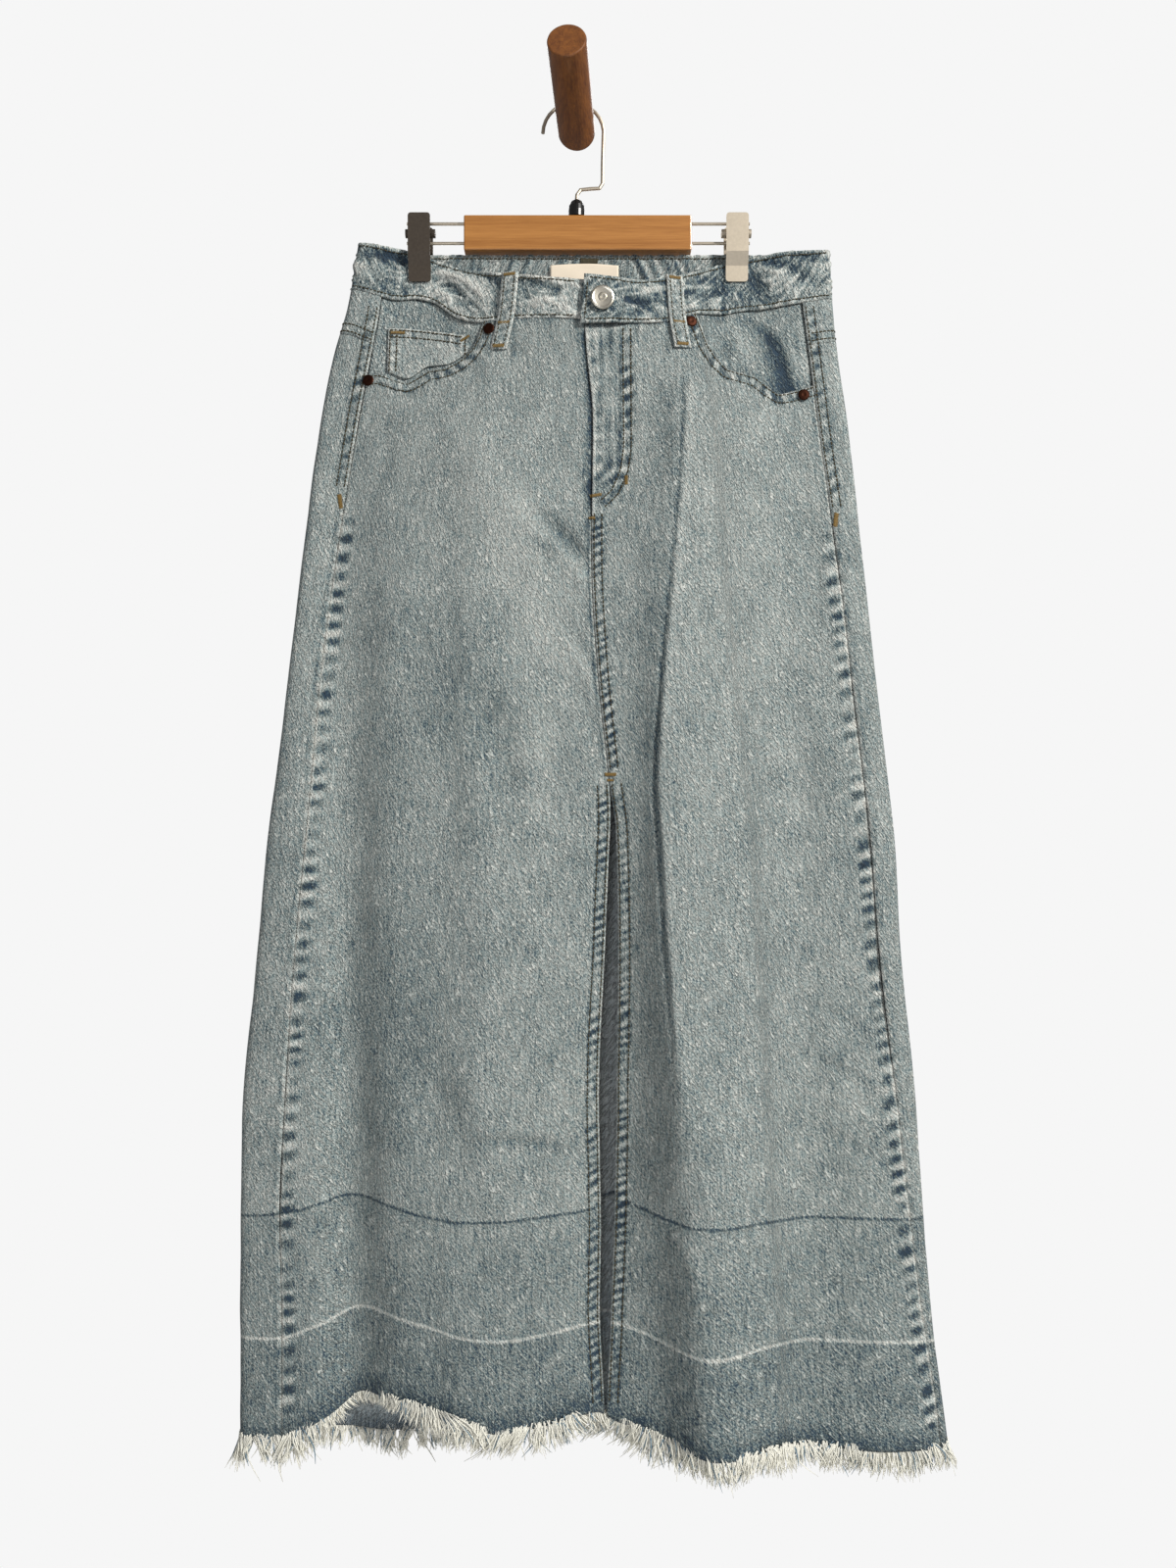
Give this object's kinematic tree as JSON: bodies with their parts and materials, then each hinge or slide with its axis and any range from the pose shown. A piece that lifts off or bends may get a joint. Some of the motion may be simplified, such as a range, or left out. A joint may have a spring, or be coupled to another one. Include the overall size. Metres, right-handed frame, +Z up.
{
  "type": "denim skirt on clip hanger and wall peg",
  "caption": "Long light-wash denim skirt with a front slit and raw fringed hem, clipped flat to a wooden bar hanger that hangs from a wall peg.",
  "frame": {"origin": "centre of the peg's flat back face, on the wall", "axes": "+X to the viewer's right along the wall, +Y into the wall, +Z up"},
  "size_m": [0.563, 0.0864, 1.1094],
  "materials": {
    "denim": "light-wash denim twill with worn blue seams",
    "denim_inside": "pale inner side of the denim",
    "fringe_cotton": "loose undyed cotton yarn",
    "label_cotton": "blank woven cream label",
    "nickel": "satin nickel",
    "copper": "antiqued copper",
    "zip_tape": "navy zip tape",
    "brass": "plain brass",
    "peg_wood": "oiled hardwood dowel",
    "bar_wood": "honey-coloured lacquered wood",
    "black_plastic": "black moulded plastic",
    "steel": "nickel-plated steel"
  },
  "bodies": {
    "root": {"front_panel_left": "denim", "front_panel_right": "denim", "back_panel": "denim", "back_yoke": "denim", "waistband_front_left": "denim", "waistband_front_right": "denim", "waistband_back": "denim", "pocket_facing_left": "denim", "pocket_facing_right": "denim", "coin_pocket": "denim", "belt_loop_left": "denim", "belt_loop_right": "denim", "belt_loop_back": "denim", "slit_hem_left": "denim_inside", "slit_hem_right": "denim_inside", "fringe_front_left": "fringe_cotton", "fringe_front_right": "fringe_cotton", "fringe_back": "fringe_cotton", "label": "label_cotton", "button": "nickel", "rivet_left_side": "copper", "rivet_left_inner": "copper", "rivet_right_inner": "copper", "rivet_right_side": "copper", "zip": "zip_tape", "zip_slider": "brass", "peg": "peg_wood", "hanger_bar": "bar_wood", "hanger_bead": "black_plastic", "hanger_hook": "steel", "rod_left_upper": "steel", "rod_left_lower": "steel", "rod_right_upper": "steel", "rod_right_lower": "steel", "clip_left_front": "steel", "clip_left_rear": "steel", "clip_left_spring": "steel", "clip_right_front": "steel", "clip_right_rear": "steel", "clip_right_spring": "steel"}
  },
  "joints": []
}
